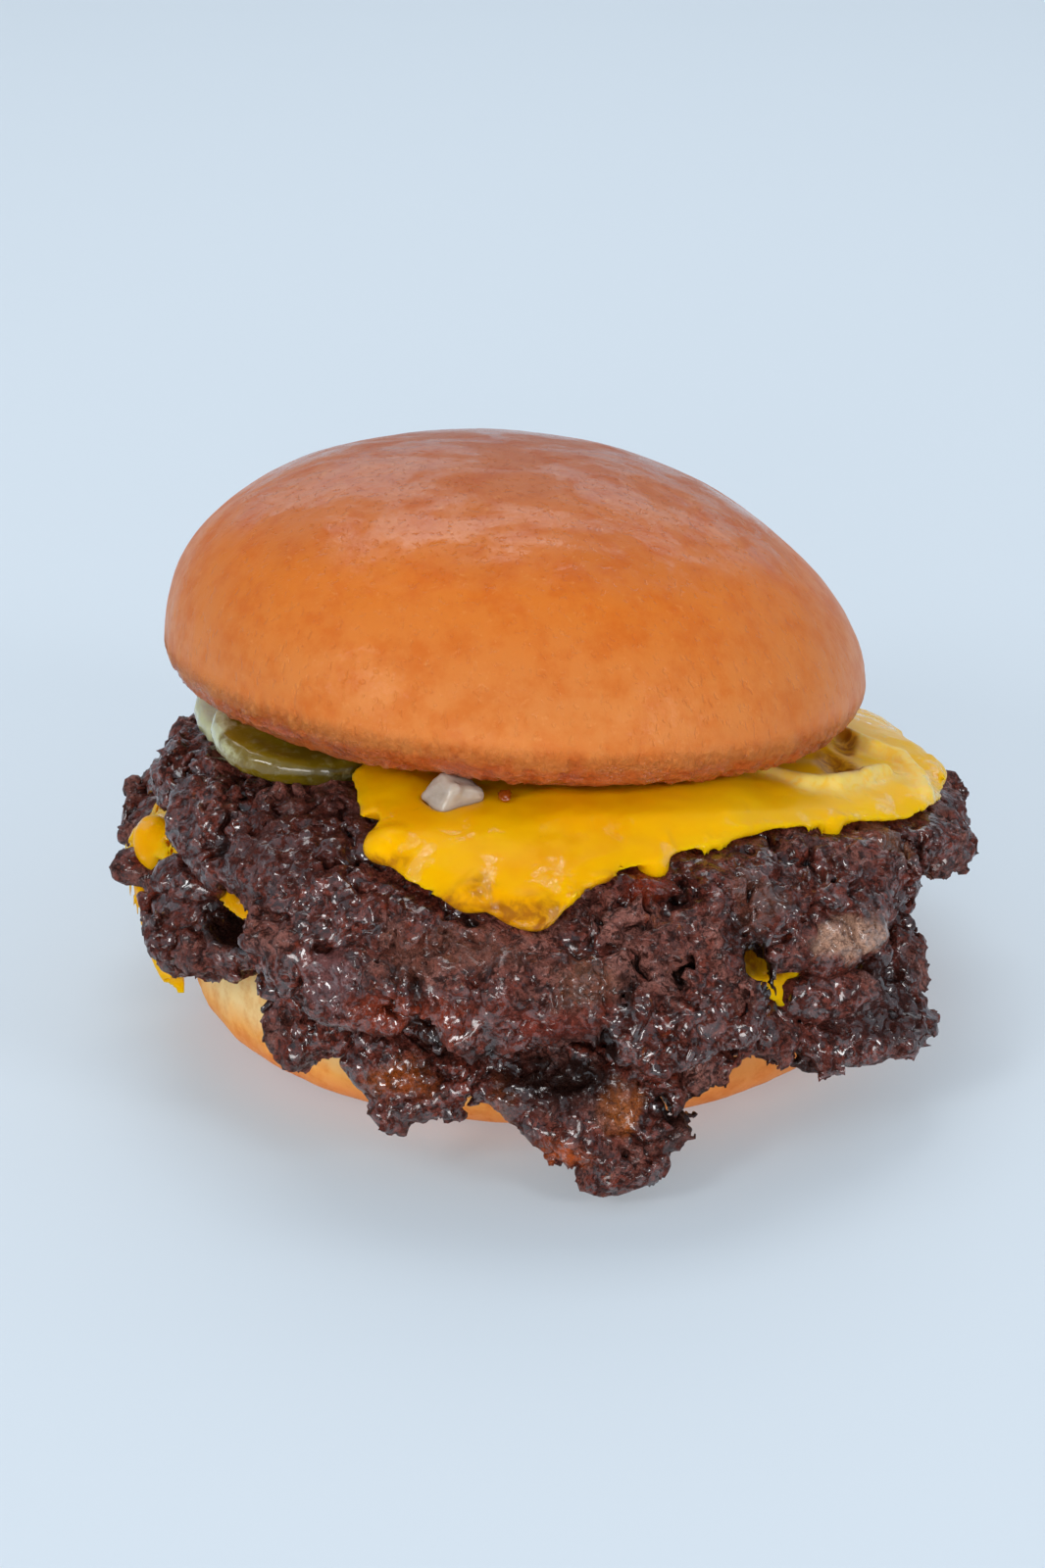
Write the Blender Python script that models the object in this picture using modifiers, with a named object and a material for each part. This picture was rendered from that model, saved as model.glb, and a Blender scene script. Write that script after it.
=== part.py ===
"""Double smash cheeseburger: heel, two lacy patties, two melted cheese slices, pickles, onion and crown.

Each piece of food is one solid. The lengths below are millimetres and become metres in mesh_object.
The burger stands on the table plane z = 0, with the centre of the heel's base at the origin.
-Y is the front, where the patties hang lowest.
"""

import math

import bpy
import numpy as np
from mathutils import Euler, Vector, noise

MM = 0.001
GAP = 0.35  # air kept between neighbouring pieces

# Heel
HEEL_RADIUS = 51.0
HEEL_HEIGHT = 20.5
HEEL_BASE_RADIUS = 43.0
HEEL_BELLY = 8.5  # height of the widest level
HEEL_SHOULDER = 9.0  # width of the rounding above it

# Fillings, from the heel up
PATTY_THICK = 8.9
PATTY_EDGE_THICK = 5.6
CHEESE_THICK = 2.2
CHEESE_EDGE_THICK = 1.7
THIN_FROM, THIN_TO = 32.0, 74.0  # layers thin out between these distances from the axis

# Strand of run cheese at the left, from the lower slice's edge down
DRIP_PATH = [
    (-57.4, -7.0, 28.2), (-59.8, -7.4, 28.0), (-61.3, -8.2, 25.4), (-60.8, -9.2, 20.5), (-59.0, -10.4, 15.0),
    (-57.0, -11.2, 9.0), (-55.0, -12.0, 3.6),
]
DRIP_WIDTHS = [1.6, 2.2, 2.4, 2.2, 1.9, 2.4, 1.4]

# How the fillings bend over the heel
FLAT_REACH = 41.0
BEND_LENGTH = 15.0
LEAN_X, LEAN_Y = -0.08, -0.12  # rise per mm of the crown's underside
HEEL_LEAN = 0.3  # share of that lean on top of the heel

# Crown
CROWN_RADIUS = 51.9
CROWN_BASE_RADIUS = 44.5
CROWN_CENTRE = (-4.9, 5.6, 44.9)
CROWN_SAG = 0.8  # how far the underside hangs below the rim in the middle
CROWN_BELLY = 6.3
CROWN_DOME = 32.4
CREST_SHIFT = (-1.2, -0.7)  # how far the top of the dome is set off the crown's middle
CROWN_WOBBLE = 0.7

# Pickle slices and onion
PICKLE_RADIUS = 13.0
PICKLE_THICK = 3.8
ONION_SIZE = (7.5, 6.0, 5.0)

BUN_SPOKES = 36
LAYER_SPOKES = 66
PICKLE_SPOKES = 24
DRIP_SPOKES = 10
RINGS = [41.0, 46.0, 51.0, 56.0, 100.0]  # distances of a layer's rings; the last follows its edge
RIM_RING = 0.975  # share of the reach where that last ring stands
RIM_ROUNDING = 4.0
FRONT_CROWDING = 0.38  # how much closer the spokes stand at the front than on average


def smooth(t):
    t = np.clip(t, 0.0, 1.0)
    return t * t * (3.0 - 2.0 * t)


def around(points):
    """A smooth closed curve of value against bearing, through (bearing in degrees, value) points."""
    points = sorted((bearing % 360.0, value) for bearing, value in points)
    bearings = np.array([p[0] for p in points])
    values = np.array([p[1] for p in points])
    count = len(points)

    def value_at(angle):
        angle = np.degrees(angle) % 360.0
        after = np.searchsorted(bearings, angle, side="right") % count
        before = (after - 1) % count
        span = (bearings[after] - bearings[before]) % 360.0
        t = ((angle - bearings[before]) % 360.0) / span
        slopes = (np.roll(values, -1) - np.roll(values, 1)) / (
            (np.roll(bearings, -1) - np.roll(bearings, 1)) % 360.0
        )
        start, end = slopes[before] * span, slopes[after] * span
        return (
            values[before] * (1 + 2 * t) * (1 - t) ** 2
            + start * t * (1 - t) ** 2
            + values[after] * t * t * (3 - 2 * t)
            + end * t * t * (t - 1)
        )

    return value_at


def lobed(reach, lobes):
    """An edge at about reach from the axis, with lobes of (bearing, half width, how far it sticks out)."""

    def value_at(angle):
        value = reach + 0 * angle
        for bearing, half_width, size in lobes:
            off = (np.degrees(angle) - bearing + 180.0) % 360.0 - 180.0
            value = value + size * np.clip(1.0 - (off / half_width) ** 2, 0.0, 1.0) ** 2
        return value

    return value_at


# Steepest slope of the fillings outside the heel, in degrees, by bearing (0 right, 90 back, 270 front)
final_slope = around([
    (0, 26), (45, 32), (90, 30), (120, 10), (145, -22), (160, -16), (176, 16), (198, 34), (220, 42), (245, 50),
    (270, 52), (300, 46), (330, 34),
])

# Widest radius of the heel by bearing
heel_girth = around([(0, 51.5), (90, 51), (180, 53.5), (215, 53.5), (250, 51.5), (290, 51)])

# How square the crown's shoulder is by bearing: 2 is an ellipse, and more is squarer
crown_shoulder = around([(0, 1.66), (90, 1.55), (180, 2.35), (270, 1.55)])

# Distance over the surface from the axis to each layer's edge. Negative lobes are notches
lower_patty_reach = lobed(59, [
    (147, 20, 5.5), (170, 14, 6), (188, 9, -3), (208, 15, 4), (224, 7, -4.5), (236, 8, 8.5), (252, 12, 11.5),
    (279, 25, 17), (293, 6, -7.5), (307, 10, 9), (323, 17, 13), (348, 38, -7.5),
])
lower_cheese_reach = lobed(49, [(32, 36, 6.5), (128, 38, 6.5), (180, 26, 6), (210, 42, 4), (308, 19, 9)])
upper_patty_reach = lobed(58, [
    (62, 18, 3), (97, 14, 2), (175, 45, -9), (225, 36, -5), (242, 14, 8), (260, 13, 7.5), (284, 17, 8), (294, 5, 4),
    (303, 23, -4), (331, 21, -5),
])
upper_cheese_reach = lobed(42.5, [
    (357, 56, 9), (42, 36, 11.5), (95, 40, 11.5), (179, 21, 4.5), (220, 28, -2), (258, 34, 7.5), (268, 8, 1.5),
    (293, 36, 3.5),
])


def layer_levels(distance):
    """Offsets of the layer boundaries from the drape, as (bottom, top) pairs from the lowest layer up."""
    thinning = smooth((distance - THIN_FROM) / (THIN_TO - THIN_FROM))
    patty = PATTY_THICK + (PATTY_EDGE_THICK - PATTY_THICK) * thinning
    cheese = CHEESE_THICK + (CHEESE_EDGE_THICK - CHEESE_THICK) * thinning
    levels, offset = [], np.zeros_like(distance)
    for thickness in (patty, cheese, patty, cheese):
        levels.append((offset + GAP, offset + GAP + thickness))
        offset = offset + GAP + thickness
    return levels


def drape(x, y, offset):
    """Lays flat points (x, y) over the heel, offset along the surface's normal."""
    distance, bearing = np.hypot(x, y), np.arctan2(y, x)
    steps = (np.arange(60) + 0.5) / 60.0
    along = distance[..., None] * steps
    slope = np.radians(final_slope(bearing))[..., None] * smooth((along - FLAT_REACH) / BEND_LENGTH)
    step = distance / 60.0
    radius = np.cos(slope).sum(-1) * step
    drop = np.sin(slope).sum(-1) * step
    last = np.radians(final_slope(bearing)) * smooth((distance - FLAT_REACH) / BEND_LENGTH)
    radius = radius + offset * np.sin(last)
    height = HEEL_HEIGHT - drop + offset * np.cos(last)
    px, py = radius * np.cos(bearing), radius * np.sin(bearing)
    stack = 2 * (PATTY_THICK + CHEESE_THICK)
    share = HEEL_LEAN + (1 - HEEL_LEAN) * np.clip(offset / stack, 0, 1.2)
    return np.stack([px, py, height + share * (LEAN_X * px + LEAN_Y * py)], -1)


def wobble(points, size, seed):
    """Smooth noise from -1 to 1 at each point, with bumps about size across."""
    shift = Vector((seed * 17.3, seed * 5.9, seed * 11.1))
    flat = np.asarray(points).reshape(-1, 3)
    values = [noise.noise(Vector(p) / size + shift) for p in flat]
    return np.array(values).reshape(np.asarray(points).shape[:-1])


def ring_angles(count):
    return np.arange(count) * (2 * math.pi / count)


def layer_angles(count):
    """Bearings of a layer's spokes, crowded towards the front where the edge is most ragged."""
    even = ring_angles(count)
    return even + FRONT_CROWDING * np.sin(even - math.radians(82))


def mesh_object(name, sections, collection, material):
    """Lofts closed sections of equal point count, from the first end cap to the last, into one solid."""
    count = len(sections[0])
    points = np.concatenate([*sections, [sections[0].mean(0)], [sections[-1].mean(0)]])
    first_cap, last_cap = len(points) - 2, len(points) - 1
    faces = []
    for k in range(len(sections) - 1):
        for i in range(count):
            j = (i + 1) % count
            faces.append((k * count + i, k * count + j, (k + 1) * count + j, (k + 1) * count + i))
    top = (len(sections) - 1) * count
    for i in range(count):
        j = (i + 1) % count
        faces.append((first_cap, j, i))
        faces.append((last_cap, top + i, top + j))
    mesh = bpy.data.meshes.new(name)
    mesh.from_pydata((points * MM).tolist(), [], faces)
    mesh.materials.append(material)
    mesh.shade_smooth()
    thing = bpy.data.objects.new(name, mesh)
    collection.objects.link(thing)
    return thing


def material_of(name, colour, roughness):
    material = bpy.data.materials.new(name)
    material.use_nodes = True
    shader = material.node_tree.nodes["Principled BSDF"]
    shader.inputs["Base Color"].default_value = (*colour, 1.0)
    shader.inputs["Roughness"].default_value = roughness
    shader.inputs["Metallic"].default_value = 0.0
    return material


def make_heel(collection):
    """Round bottom half of the bun: flat base, full belly and a toasted top cut that leans a little."""
    angles = ring_angles(BUN_SPOKES)
    profile = [(0.45 * HEEL_BASE_RADIUS, 0.0), (HEEL_BASE_RADIUS, 0.0)]
    for t in (0.25, 0.5, 0.75, 1.0):
        turn = t * math.pi / 2
        radius = HEEL_BASE_RADIUS + (HEEL_RADIUS - HEEL_BASE_RADIUS) * math.sin(turn)
        profile.append((radius, HEEL_BELLY * (1 - math.cos(turn))))
    shoulder = HEEL_RADIUS - HEEL_SHOULDER
    for t in (0.3, 0.55, 0.78, 1.0):
        turn = t * math.pi / 2
        radius = shoulder + HEEL_SHOULDER * math.cos(turn)
        profile.append((radius, HEEL_BELLY + (HEEL_HEIGHT - HEEL_BELLY) * math.sin(turn)))
    profile.append((0.4 * shoulder, HEEL_HEIGHT))
    sections = []
    for radius, height in profile:
        girth = radius * heel_girth(angles) / HEEL_RADIUS
        x, y = girth * np.cos(angles), girth * np.sin(angles)
        share = smooth((height - HEEL_BELLY) / (HEEL_HEIGHT - HEEL_BELLY))
        z = height + share * HEEL_LEAN * (LEAN_X * x + LEAN_Y * y)
        sections.append(np.stack([x, y, z], -1))
    return mesh_object("heel", sections, collection, material_of("heel_crust", (0.62, 0.33, 0.11), 0.5))


def layer_sections(outline, level, bulge=None):
    """Sections of a draped layer: its underside from the middle out, then its top from the rim in.

    outline holds the layer's flat edge points, and level is its number in layer_levels. The rings stand at
    the same distances in every layer, so that neighbouring faces stay parallel through the bend.
    """
    reach = np.hypot(outline[:, 0], outline[:, 1])
    under, over = [], []
    for k, ring in enumerate(RINGS):
        squeezed = reach * (RIM_RING - 0.03 * (len(RINGS) - 1 - k))
        distance = np.minimum(ring, squeezed)
        flat = outline * (distance / reach)[:, None]
        low, high = layer_levels(distance)[level]
        rounding = 0.6 + 0.4 * smooth((reach - distance) / RIM_ROUNDING)
        middle, half = (low + high) / 2, (high - low) / 2 * rounding
        lift = 0 if bulge is None else bulge(flat)
        under.append(drape(flat[:, 0], flat[:, 1], middle - half + 0.9 * lift))
        over.append(drape(flat[:, 0], flat[:, 1], middle + half + lift))
    low, high = layer_levels(reach)[level]
    lift = 0 if bulge is None else bulge(outline)
    rim = drape(outline[:, 0], outline[:, 1], (low + high) / 2 + lift)
    return [*under, rim, *reversed(over)]


def ragged_outline(spokes, reach, size, seed):
    """Flat edge points of a layer: its reach by bearing, made uneven by up to about size."""
    angles = layer_angles(spokes)
    edge = np.stack([np.cos(angles), np.sin(angles), 0 * angles], -1)
    distance = reach(angles)
    coarse = wobble(edge * distance[:, None], 7.0, seed)
    fine = wobble(edge * distance[:, None], 3.5, seed + 3)
    return edge[:, :2] * (distance + size * (coarse + 0.6 * fine))[:, None]


def make_patty(name, reach, level, seed, collection):
    """Thin smashed patty with a ragged, lobed edge that hangs over the heel."""
    outline = ragged_outline(LAYER_SPOKES, reach, 1.6, seed)
    sections = layer_sections(outline, level)
    return mesh_object(name, sections, collection, material_of(name + "_crust", (0.085, 0.036, 0.026), 0.4))


def melted_cheese(name):
    return material_of(name, (0.82, 0.35, 0.01), 0.3)


def make_drip(path, widths, collection):
    """Round strand of run cheese along a path of points, as wide as widths says at each point."""
    points = [Vector(point) for point in path]
    sections = []
    for k, point in enumerate(points):
        along = points[min(k + 1, len(points) - 1)] - points[max(k - 1, 0)]
        turn = along.to_track_quat("Z", "Y")
        circle = [turn @ Vector((math.cos(a), math.sin(a), 0.0)) for a in ring_angles(DRIP_SPOKES)]
        sections.append(np.array([point + widths[k] / 2 * corner for corner in circle]))
    return mesh_object("drip", sections, collection, melted_cheese("cheese_drip"))


def make_lower_cheese(collection, cutters):
    """Slice between the patties. Its left corner hangs out and one drip runs down towards the table."""
    outline = ragged_outline(LAYER_SPOKES, lower_cheese_reach, 0.5, 11)
    sections = layer_sections(outline, 1)
    cheese = mesh_object("cheese_lower", sections, collection, melted_cheese("cheese_lower"))
    drip = make_drip(DRIP_PATH, DRIP_WIDTHS, cutters)
    hide_tool(drip)
    joined = cheese.modifiers.new("drip", "BOOLEAN")
    joined.operation = "UNION"
    joined.solver = "EXACT"
    joined.object = drip
    return cheese


def cheese_folds(flat):
    """Height of the two soft ridges that run out to the upper slice's pinched right corner."""
    bearing = np.degrees(np.arctan2(flat[:, 1], flat[:, 0]))
    distance = np.hypot(flat[:, 0], flat[:, 1])
    grown = smooth((distance - 44.0) / 10.0) * smooth((34.0 - np.abs(bearing - 8.0)) / 14.0)
    return grown * (1.6 - 1.4 * np.cos(np.radians(bearing + 4.0) * 14.0))


def make_upper_cheese(collection):
    """Slice on the upper patty: a corner runs down the front and the right corner is pinched into folds."""
    outline = ragged_outline(LAYER_SPOKES, upper_cheese_reach, 0.5, 23)
    sections = layer_sections(outline, 3, cheese_folds)
    return mesh_object("cheese_upper", sections, collection, melted_cheese("cheese_upper"))


def make_crown(collection):
    """Domed top half of the bun. Its left shoulder is square, and it leans on the filling."""
    angles = ring_angles(BUN_SPOKES)
    profile = [(0.45 * CROWN_BASE_RADIUS, -CROWN_SAG), (CROWN_BASE_RADIUS, 0.0)]
    for t in (0.2, 0.45, 0.72, 1.0):
        turn = t * math.pi / 2
        radius = CROWN_BASE_RADIUS + (CROWN_RADIUS - CROWN_BASE_RADIUS) * math.sin(turn)
        profile.append((radius, CROWN_BELLY * (1 - math.cos(turn))))
    sections = [np.stack([r * np.cos(angles), r * np.sin(angles), z + 0 * angles], -1) for r, z in profile]
    for share in (0.985, 0.945, 0.88, 0.78, 0.64, 0.48, 0.3, 0.12):
        rise = (1 - share**2) ** (1 / crown_shoulder(angles))
        x = share * CROWN_RADIUS * np.cos(angles) + CREST_SHIFT[0] * rise**2
        y = share * CROWN_RADIUS * np.sin(angles) + CREST_SHIFT[1] * rise**2
        sections.append(np.stack([x, y, CROWN_BELLY + CROWN_DOME * rise], -1))
    for section in sections[2:]:
        push = CROWN_WOBBLE * wobble(section, 34.0, 5)
        section[:, :2] *= (1 + push / CROWN_RADIUS)[:, None]
    crown = mesh_object("crown", sections, collection, material_of("crown_crust", (0.6, 0.19, 0.035), 0.32))
    crown.location = Vector(CROWN_CENTRE) * MM
    crown.rotation_euler = Euler((math.atan(LEAN_Y), -math.atan(LEAN_X), 0.0))
    return crown


def make_pickle(name, place, lean, collection):
    """Round cucumber slice with softly rounded rind edges."""
    angles = ring_angles(PICKLE_SPOKES)
    half = PICKLE_THICK / 2
    profile = [(0.4, -1.0), (0.9, -1.0), (0.975, -0.7), (1.0, 0.0), (0.975, 0.7), (0.9, 1.0), (0.4, 1.0)]
    oval = 1 + 0.05 * np.cos(2 * angles + 0.6)
    sections = []
    for share, level in profile:
        radius = PICKLE_RADIUS * share * oval
        x, y = radius * np.cos(angles), radius * np.sin(angles)
        sections.append(np.stack([x, y, level * half + 0 * angles], -1))
    pickle = mesh_object(name, sections, collection, material_of(name + "_flesh", (0.2, 0.17, 0.02), 0.25))
    pickle.location = Vector(place) * MM
    pickle.rotation_euler = Euler([math.radians(a) for a in lean])
    return pickle


def make_onion(collection):
    """One diced piece of onion under the front rim of the crown."""
    bpy.ops.mesh.primitive_cube_add(size=1.0)
    onion = bpy.context.object
    onion.name = onion.data.name = "onion"
    for vertex in onion.data.vertices:
        taper = 1.0 - 0.22 * (vertex.co.z + 0.5)
        vertex.co = Vector((vertex.co.x * taper, vertex.co.y * taper, vertex.co.z))
        vertex.co = Vector([c * s * MM for c, s in zip(vertex.co, ONION_SIZE)])
    rounding = onion.modifiers.new("rounding", "BEVEL")
    rounding.width = 1.0 * MM
    rounding.segments = 2
    onion.data.materials.append(material_of("onion_flesh", (0.66, 0.56, 0.42), 0.25))
    onion.data.shade_smooth()
    onion.location = Vector((-12.6, -41.0, 49.2)) * MM
    onion.rotation_euler = Euler((math.radians(12), math.radians(22), math.radians(35)))
    bpy.context.collection.objects.unlink(onion)
    collection.objects.link(onion)
    return onion


def hide_tool(tool):
    tool.hide_render = True
    tool.display_type = "WIRE"


def press_into(thing, other, cutters):
    """Cuts the dent that other, grown by the gap, leaves in thing."""
    cutter = other.copy()
    cutter.data = other.data.copy()
    cutter.name = f"{other.name}_in_{thing.name}"
    swell = cutter.modifiers.new("swell", "DISPLACE")
    swell.strength = GAP * MM
    swell.mid_level = 0.0
    cutters.objects.link(cutter)
    hide_tool(cutter)
    dent = thing.modifiers.new("dent of " + other.name, "BOOLEAN")
    dent.operation = "DIFFERENCE"
    dent.solver = "EXACT"
    dent.object = cutter


def build():
    for thing in list(bpy.data.objects):
        bpy.data.objects.remove(thing)
    burger = bpy.data.collections.new("cheeseburger")
    cutters = bpy.data.collections.new("cutters")
    for collection in (burger, cutters):
        bpy.context.scene.collection.children.link(collection)
    make_heel(burger)
    make_patty("patty_lower", lower_patty_reach, 0, 1, burger)
    make_lower_cheese(burger, cutters)
    upper_patty = make_patty("patty_upper", upper_patty_reach, 2, 7, burger)
    upper_cheese = make_upper_cheese(burger)
    crown = make_crown(burger)
    pickles = [
        make_pickle("pickle_front", (-34.0, -20.5, 49.6), (8, 2, 20), burger),
        make_pickle("pickle_left", (-38.5, -4.0, 47.4), (4, -10, 70), burger),
    ]
    onion = make_onion(burger)
    for topping in (*pickles, onion):
        for thing in (upper_patty, upper_cheese, crown):
            press_into(thing, topping, cutters)


build()
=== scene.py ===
import math

import bmesh
import bpy
import numpy as np
from mathutils import Euler, Matrix, Vector, noise


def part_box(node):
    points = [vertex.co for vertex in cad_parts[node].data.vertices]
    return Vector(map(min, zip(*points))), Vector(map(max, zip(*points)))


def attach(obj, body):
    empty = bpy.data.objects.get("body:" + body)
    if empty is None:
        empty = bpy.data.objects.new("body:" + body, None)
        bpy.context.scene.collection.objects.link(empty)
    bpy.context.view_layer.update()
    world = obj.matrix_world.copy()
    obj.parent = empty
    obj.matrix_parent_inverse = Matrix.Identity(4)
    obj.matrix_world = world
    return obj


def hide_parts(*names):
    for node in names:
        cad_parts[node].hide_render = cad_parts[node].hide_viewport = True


# Double smash cheeseburger: bun, beef, cheese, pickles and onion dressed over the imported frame
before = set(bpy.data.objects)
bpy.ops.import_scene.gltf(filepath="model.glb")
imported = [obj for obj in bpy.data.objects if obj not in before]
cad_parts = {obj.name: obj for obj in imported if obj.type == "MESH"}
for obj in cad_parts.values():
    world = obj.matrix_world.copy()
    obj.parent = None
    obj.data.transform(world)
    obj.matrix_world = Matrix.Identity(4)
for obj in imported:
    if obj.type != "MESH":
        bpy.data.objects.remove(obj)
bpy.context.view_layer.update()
mm = 0.001
millimetres = 1000       # in a metre
weldDistance = 0.005     # mm: points closer than this are one
print("frame loaded:", ", ".join(sorted(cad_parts)))


# small helpers for node trees, shared by the materials and the relief trees
def setSockets(tree, node, sockets):
    for name, value in sockets.items():
        if isinstance(value, bpy.types.NodeSocket):
            tree.links.new(value, node.inputs[name])
        else:
            node.inputs[name].default_value = value


def addNode(tree, kind, sockets=None, **settings):
    n = tree.nodes.new(kind)
    for name, value in settings.items():
        setattr(n, name, value)
    setSockets(tree, n, sockets or {})
    return n


def mathNode(tree, operation, a, b=0, clamp=False):
    return addNode(tree, "ShaderNodeMath", {0: a, 1: b}, operation=operation, use_clamp=clamp).outputs[0]


def times(tree, a, b, clamp=False):
    return mathNode(tree, "MULTIPLY", a, b, clamp)


def plus(tree, a, b):
    return mathNode(tree, "ADD", a, b)


def minus(tree, a, b, clamp=False):
    return mathNode(tree, "SUBTRACT", a, b, clamp)


def vectorMath(tree, operation, a, b=(0, 0, 0), output=0):
    return addNode(tree, "ShaderNodeVectorMath", {0: a, 1: b}, operation=operation).outputs[output]


def scaleVector(tree, vector, scale):
    return addNode(tree, "ShaderNodeVectorMath", {0: vector, "Scale": scale}, operation="SCALE").outputs[0]


def stretched(tree, where, x, y, z):
    return vectorMath(tree, "MULTIPLY", where, (x, y, z))


def lengthOf(tree, vector):
    return vectorMath(tree, "LENGTH", vector, output="Value")


def reachOf(tree, where):
    # how far out from the middle of the burger, seen from above
    return lengthOf(tree, stretched(tree, where, 1, 1, 0))


def axisOf(tree, vector, axis):
    return addNode(tree, "ShaderNodeSeparateXYZ", {0: vector}).outputs[axis]


def objectPlace(tree):
    return addNode(tree, "ShaderNodeTexCoord").outputs["Object"]


def pointPlace(tree):
    return addNode(tree, "GeometryNodeInputPosition").outputs[0]


def storedValue(tree, name):
    return addNode(tree, "ShaderNodeAttribute", attribute_name=name).outputs["Fac"]


def fadeNode(tree, value, start, end, low=0, high=1, easing="SMOOTHSTEP"):
    return addNode(tree, "ShaderNodeMapRange", {0: value, 1: start, 2: end, 3: low, 4: high},
                   interpolation_type=easing).outputs[0]


def mixColour(tree, factor, a, b, blend="MIX"):
    n = addNode(tree, "ShaderNodeMix", {0: factor, 6: a, 7: b}, data_type="RGBA", blend_type=blend)
    return n.outputs[2]


def rampNode(tree, factor, stops, easing="EASE"):
    ramp = addNode(tree, "ShaderNodeValToRGB", {0: factor})
    ramp.color_ramp.interpolation = easing
    while len(ramp.color_ramp.elements) < len(stops):
        ramp.color_ramp.elements.new(0.5)
    for element, (place, colour) in zip(ramp.color_ramp.elements, stops):
        element.position = place
        element.color = colour
    return ramp.outputs[0]


def greyRamp(tree, factor, *stops):
    return rampNode(tree, factor, [(place, (value, value, value, 1)) for place, value in stops])


def srgb(red, green, blue):
    # colours are written down as 0-255 screen values
    shares = (c / 255 for c in (red, green, blue))
    return (*(c / 12.92 if c <= 0.04 else ((c + 0.055) / 1.055) ** 2.4 for c in shares), 1)


def newMaterial(name):
    material = bpy.data.materials.new(name)
    material.use_nodes = True
    tree = material.node_tree
    return material, tree, tree.nodes["Principled BSDF"]


def noiseNode(tree, where, size, detail=3, roughness=0.55, distortion=0):
    # size is the width of one blob in mm
    n = addNode(tree, "ShaderNodeTexNoise", {"Vector": where, "Scale": millimetres / size, "Detail": detail,
                "Roughness": roughness, "Distortion": distortion})
    return n.outputs["Fac"]


def unevenNode(tree, where, size, *shape):
    # a noise around zero
    return minus(tree, noiseNode(tree, where, size, *shape), 0.5)


def reliefNoise(tree, where, heightAndSize, *shape):
    height, size = heightAndSize
    return times(tree, unevenNode(tree, where, size, *shape), height * mm)


def driftNode(tree, where, size):
    # a sideways wander in all directions
    drift = addNode(tree, "ShaderNodeTexNoise", {"Vector": where, "Scale": millimetres / size, "Detail": 2})
    return vectorMath(tree, "SUBTRACT", drift.outputs["Color"], (0.5, 0.5, 0.5))


def warpNode(tree, where, size, amount):
    # wanders the coordinates, so that cells and blobs lose their regular look
    return vectorMath(tree, "ADD", where, scaleVector(tree, driftNode(tree, where, size), amount * 2 * mm))


def bumpNode(tree, height, strength, distance, normal=None):
    sockets = {"Height": height, "Strength": strength, "Distance": distance * mm}
    if normal is not None:
        sockets["Normal"] = normal
    return addNode(tree, "ShaderNodeBump", sockets).outputs[0]


# small helpers for pieces
def linkPiece(name, mesh):
    piece = bpy.data.objects.new(name, mesh)
    bpy.context.scene.collection.objects.link(piece)
    return piece


def pieceFrom(work, name):
    mesh = bpy.data.meshes.new(name)
    work.to_mesh(mesh)
    work.free()
    return linkPiece(name, mesh)


def meshOf(nodeName, name):
    # a fresh piece with the shape of one CAD solid
    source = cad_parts[nodeName]
    piece = linkPiece(name, source.data.copy())
    piece.matrix_world = source.matrix_world
    work = bmesh.new()
    work.from_mesh(piece.data)
    bmesh.ops.remove_doubles(work, verts=work.verts, dist=weldDistance * mm)
    work.to_mesh(piece.data)
    work.free()
    piece.data.materials.clear()
    return piece


def smoothOut(piece, passes):
    smooth = piece.modifiers.new("smooth", "SMOOTH")
    smooth.factor = 0.5
    smooth.iterations = passes


def bake(piece):
    # applies the modifiers so far, so that later steps start from a plain mesh
    view = bpy.context.evaluated_depsgraph_get()
    mesh = bpy.data.meshes.new_from_object(piece.evaluated_get(view))
    old = piece.data
    piece.modifiers.clear()
    piece.data = mesh
    bpy.data.meshes.remove(old)
    mesh.name = piece.name


def thinOut(piece, mostTriangles):
    piece.data.calc_loop_triangles()
    triangles = len(piece.data.loop_triangles)
    if triangles > mostTriangles:
        thin = piece.modifiers.new("thin out", "DECIMATE")
        thin.ratio = mostTriangles / triangles
        bake(piece)
    print(piece.name, "had", triangles, "triangles")


def finishPiece(piece, material, nodeNames):
    piece.data.materials.clear()
    piece.data.materials.append(material)
    for face in piece.data.polygons:
        face.use_smooth = True
        face.material_index = 0
    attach(piece, "root")
    if nodeNames:
        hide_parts(*nodeNames)
    print(f"{piece.name}: {len(piece.data.polygons)} faces")


# relief is done with a geometry node tree, so that the noise runs on every point at once
def reliefTree(name, build):
    tree = bpy.data.node_groups.new(name, "GeometryNodeTree")
    tree.interface.new_socket("Geometry", in_out="INPUT", socket_type="NodeSocketGeometry")
    tree.interface.new_socket("Geometry", in_out="OUTPUT", socket_type="NodeSocketGeometry")
    start = tree.nodes.new("NodeGroupInput")
    end = tree.nodes.new("NodeGroupOutput")
    tree.links.new(build(tree, start.outputs[0]), end.inputs[0])
    return tree


def addRelief(piece, build):
    modifier = piece.modifiers.new("relief", "NODES")
    modifier.node_group = reliefTree(piece.name + " relief", build)


def pushOut(tree, geometry, height):
    # moves each point along its normal by height, in metres
    shift = scaleVector(tree, addNode(tree, "GeometryNodeInputNormal").outputs[0], height)
    return addNode(tree, "GeometryNodeSetPosition", {"Geometry": geometry, "Offset": shift}).outputs[0]


def keepValue(tree, geometry, name, value, kind="FLOAT"):
    # stores a number or a vector on each point
    sockets = {"Geometry": geometry, "Name": name, "Value": value}
    return addNode(tree, "GeometryNodeStoreNamedAttribute", sockets, data_type=kind).outputs[0]


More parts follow.
